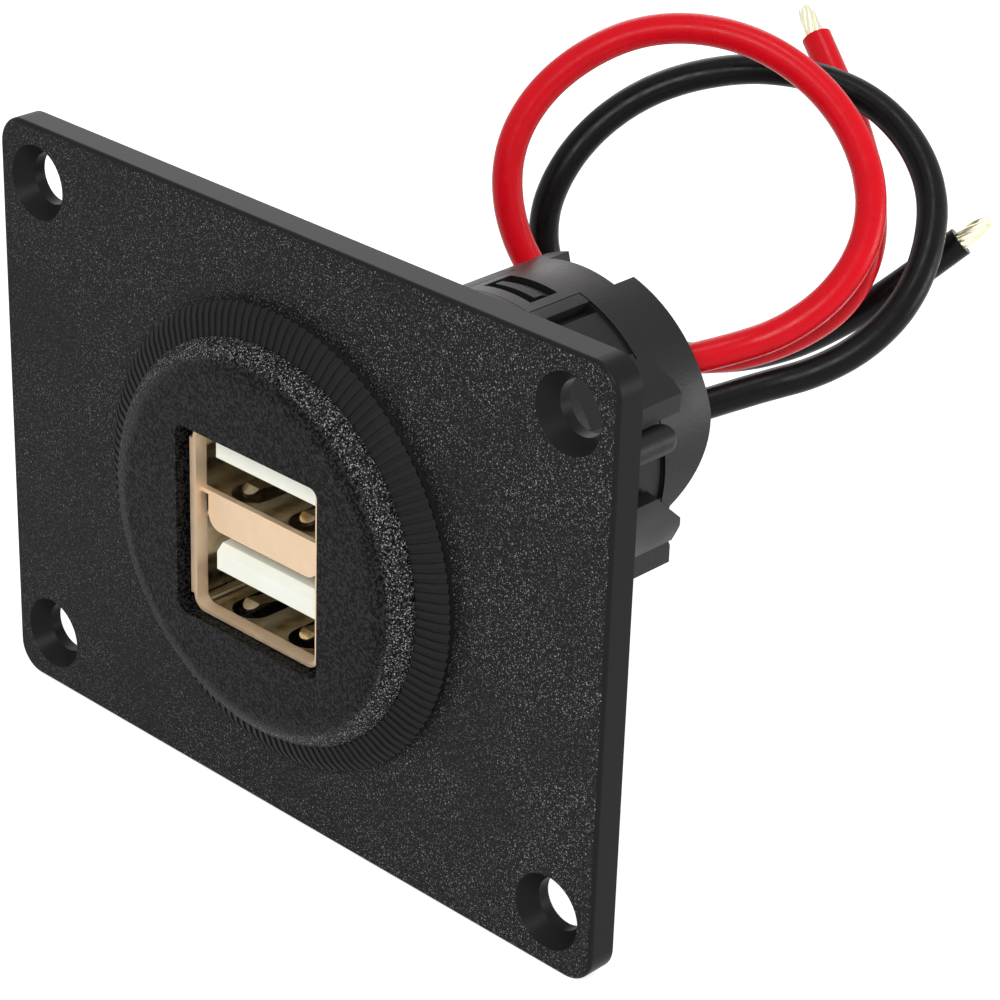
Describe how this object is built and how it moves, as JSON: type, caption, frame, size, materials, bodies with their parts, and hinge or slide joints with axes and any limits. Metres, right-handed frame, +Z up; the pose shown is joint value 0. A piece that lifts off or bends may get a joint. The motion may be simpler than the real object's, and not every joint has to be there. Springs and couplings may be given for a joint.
{
  "type": "car dual usb socket",
  "caption": "Panel socket for a vehicle: a rectangular screw plate with a round bezel and cap, USB ports, a clawed barrel behind it and bare-ended leads.",
  "frame": {"origin": "centre of the plate's rear face, which is the centre of its four screws", "axes": "+X to the right seen from the front, +Y into the panel along the barrel, +Z up"},
  "size_m": [0.066, 0.0715, 0.0541],
  "materials": {
    "plate_plastic": "fine leather grain",
    "bezel_plastic": "fine radial ribs",
    "cap_plastic": "fine sand texture",
    "barrel_plastic": "smooth",
    "ring_plastic": "satin",
    "rear_plastic": "satin",
    "shell_metal": "plated",
    "tongue_plastic": "smooth",
    "contact_metal": "plated",
    "board_laminate": "solder mask",
    "ferrite": "smooth",
    "winding": "enamelled copper wire",
    "capacitor_can": "drawn",
    "chip_epoxy": "moulded",
    "ceramic": "smooth",
    "terminal_metal": "tinned",
    "red_insulation": "smooth",
    "black_insulation": "smooth",
    "tinned_strands": "tinned"
  },
  "bodies": {
    "root": {"mounting_plate": "plate_plastic", "bezel_ring": "bezel_plastic", "front_cap": "cap_plastic", "socket_barrel": "barrel_plastic", "retaining_ring": "ring_plastic", "rear_cap": "rear_plastic", "usb_shell": "shell_metal", "usb_divider": "shell_metal", "usb_upper_tongue": "tongue_plastic", "usb_lower_tongue": "tongue_plastic", "usb_upper_contacts": "contact_metal", "usb_lower_contacts": "contact_metal", "circuit_board": "board_laminate", "inductor_core": "ferrite", "inductor_coil": "winding", "input_capacitor": "capacitor_can", "output_capacitor": "capacitor_can", "converter_chip": "chip_epoxy", "rectifier_diode": "chip_epoxy", "input_fuse": "ceramic", "chip_resistors": "ceramic", "positive_terminal": "terminal_metal", "negative_terminal": "terminal_metal", "red_wire": "red_insulation", "black_wire": "black_insulation", "red_wire_tip": "tinned_strands", "black_wire_tip": "tinned_strands"}
  },
  "joints": []
}
